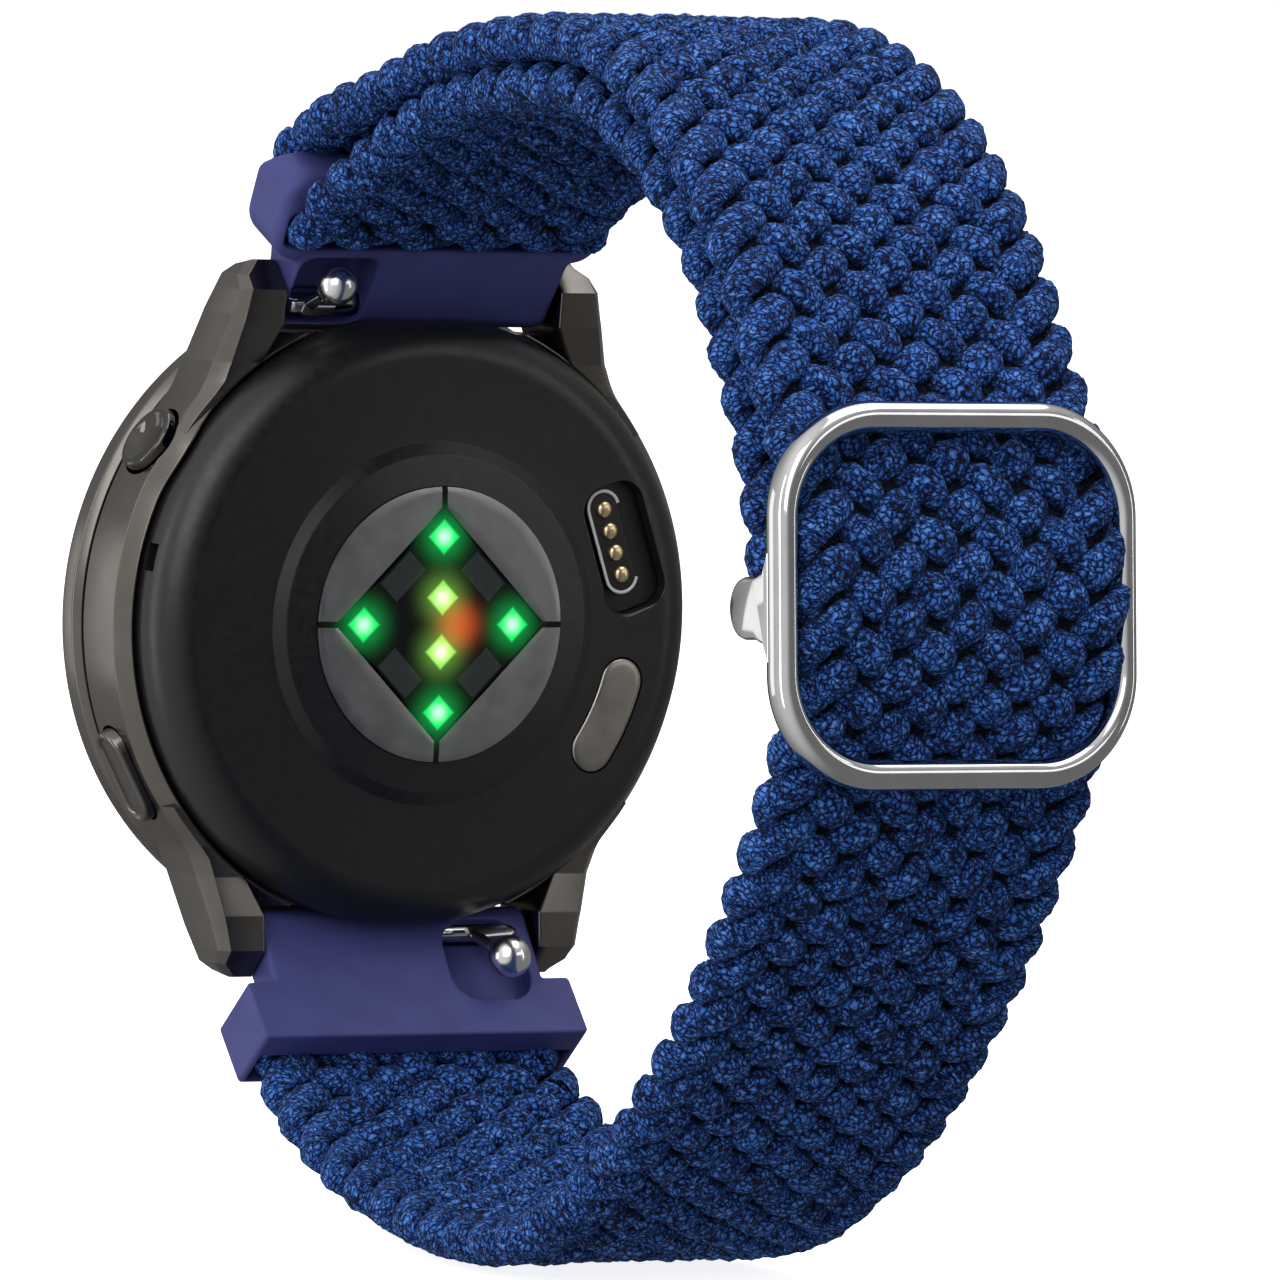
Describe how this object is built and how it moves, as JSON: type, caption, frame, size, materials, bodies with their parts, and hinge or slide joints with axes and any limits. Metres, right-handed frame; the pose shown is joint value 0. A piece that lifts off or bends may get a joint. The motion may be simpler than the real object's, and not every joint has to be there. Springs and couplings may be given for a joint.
{
  "type": "fitness tracker band",
  "caption": "Round fitness watch with optical wrist sensor, side buttons and a braided elastic band that loops through a slotted end and a sliding square buckle.",
  "frame": {"origin": "middle of the flat sensor window that touches the wrist", "axes": "+X across the band towards the side without buttons, +Y out through the display glass, +Z towards twelve o'clock"},
  "size_m": [0.0424, 0.0786, 0.0781],
  "materials": {
    "gunmetal": "satin warm gunmetal coating",
    "dark_chrome": "glossy dark coating",
    "black_polymer": "matte near-black moulded polymer",
    "adapter_plastic": "smooth matte indigo navy",
    "braided_elastic": "chunky flat braid of royal and navy blue crimped yarn",
    "rubber": "matte",
    "glass": "polished",
    "display": "dark gloss",
    "circuit_board": "solder mask",
    "silver_electrode": "fine satin coating",
    "gold_contact": "gold plated",
    "led_green": "lit green",
    "led_yellow": "lit yellow-green",
    "led_red": "lit red",
    "chip": "grey package",
    "foil": "foil and stamped sheet",
    "polished_steel": "polished stainless steel"
  },
  "bodies": {
    "watch_head": {"battery": "foil", "bezel_gasket": "rubber", "bezel_ring": "gunmetal", "case_frame": "gunmetal", "charge_contact_1": "gold_contact", "charge_contact_2": "gold_contact", "charge_contact_3": "gold_contact", "charge_contact_4": "gold_contact", "charge_port_housing": "black_polymer", "cover_glass": "glass", "display_module": "display", "electrode_left_bottom": "silver_electrode", "electrode_left_top": "silver_electrode", "electrode_right_bottom": "silver_electrode", "electrode_right_top": "silver_electrode", "led_bottom": "led_green", "led_left": "led_green", "led_lower_middle": "led_yellow", "led_red": "led_red", "led_right": "led_green", "led_top": "led_green", "led_upper_middle": "led_yellow", "lower_button_seal": "rubber", "lower_button_switch": "foil", "main_board": "circuit_board", "photodiode_1": "chip", "photodiode_2": "chip", "photodiode_3": "chip", "photodiode_4": "chip", "rear_cover": "black_polymer", "rear_gasket": "rubber", "sensor_board": "circuit_board", "sensor_lens": "glass", "skin_electrode": "silver_electrode", "speaker": "chip", "strap_inner_layer": "braided_elastic", "strap_lower": "braided_elastic", "strap_outer_layer": "braided_elastic", "upper_button_seal": "rubber", "upper_button_switch": "foil", "vibration_motor_can": "polished_steel"},
    "upper_button": {"upper_button": "dark_chrome"},
    "lower_button": {"lower_button": "gunmetal"},
    "motor_weight": {"vibration_motor_weight": "polished_steel"},
    "top_end": {"top_adapter": "adapter_plastic", "top_bar_tube": "polished_steel", "top_bar_fixed_tip": "polished_steel", "top_bar_spring": "polished_steel", "strap_adapter_loop": "braided_elastic"},
    "top_release": {"top_release_lever": "polished_steel"},
    "bottom_end": {"bottom_adapter": "adapter_plastic", "bottom_bar_tube": "polished_steel", "bottom_bar_fixed_tip": "polished_steel", "bottom_bar_spring": "polished_steel", "strap_sewn_end": "braided_elastic"},
    "bottom_release": {"bottom_release_lever": "polished_steel"},
    "buckle": {"buckle_ring": "polished_steel", "buckle_crossbar": "polished_steel", "strap_in_buckle": "braided_elastic", "strap_crossbar_loop": "braided_elastic"}
  },
  "joints": [
    {"name": "upper_button_press", "type": "slide", "parent": "watch_head", "child": "upper_button", "axis": [0.8415, 0, -0.5402], "range_m": [0, 0.0005], "stiffness_N_per_m": 1500},
    {"name": "lower_button_press", "type": "slide", "parent": "watch_head", "child": "lower_button", "axis": [0.8738, 0, 0.4863], "range_m": [0, 0.0005], "stiffness_N_per_m": 1500},
    {"name": "motor_spin", "type": "hinge", "parent": "watch_head", "child": "motor_weight", "pos_m": [-0.0106, 0.005, 0.0015], "axis": [0, 1, 0], "continuous": true},
    {"name": "top_end_swing", "type": "hinge", "parent": "watch_head", "child": "top_end", "pos_m": [0, 0.0064, 0.0204], "axis": [1, 0, 0], "range_deg": [-10, 10], "stiffness_Nm_per_rad": 0.05},
    {"name": "top_release_slide", "type": "slide", "parent": "top_end", "child": "top_release", "axis": [1, 0, 0], "range_m": [0, 0.0016], "stiffness_N_per_m": 400, "deforming": ["top_bar_spring"]},
    {"name": "bottom_end_swing", "type": "hinge", "parent": "watch_head", "child": "bottom_end", "pos_m": [0, 0.0064, -0.0204], "axis": [1, 0, 0], "range_deg": [-10, 10], "stiffness_Nm_per_rad": 0.05},
    {"name": "bottom_release_slide", "type": "slide", "parent": "bottom_end", "child": "bottom_release", "axis": [-1, 0, 0], "range_m": [0, 0.0016], "stiffness_N_per_m": 400, "deforming": ["bottom_bar_spring"]},
    {"name": "buckle_slide", "type": "hinge", "parent": "watch_head", "child": "buckle", "pos_m": [0, -0.0309, 0.0037], "axis": [1, 0, 0], "range_deg": [-5, 5]}
  ]
}
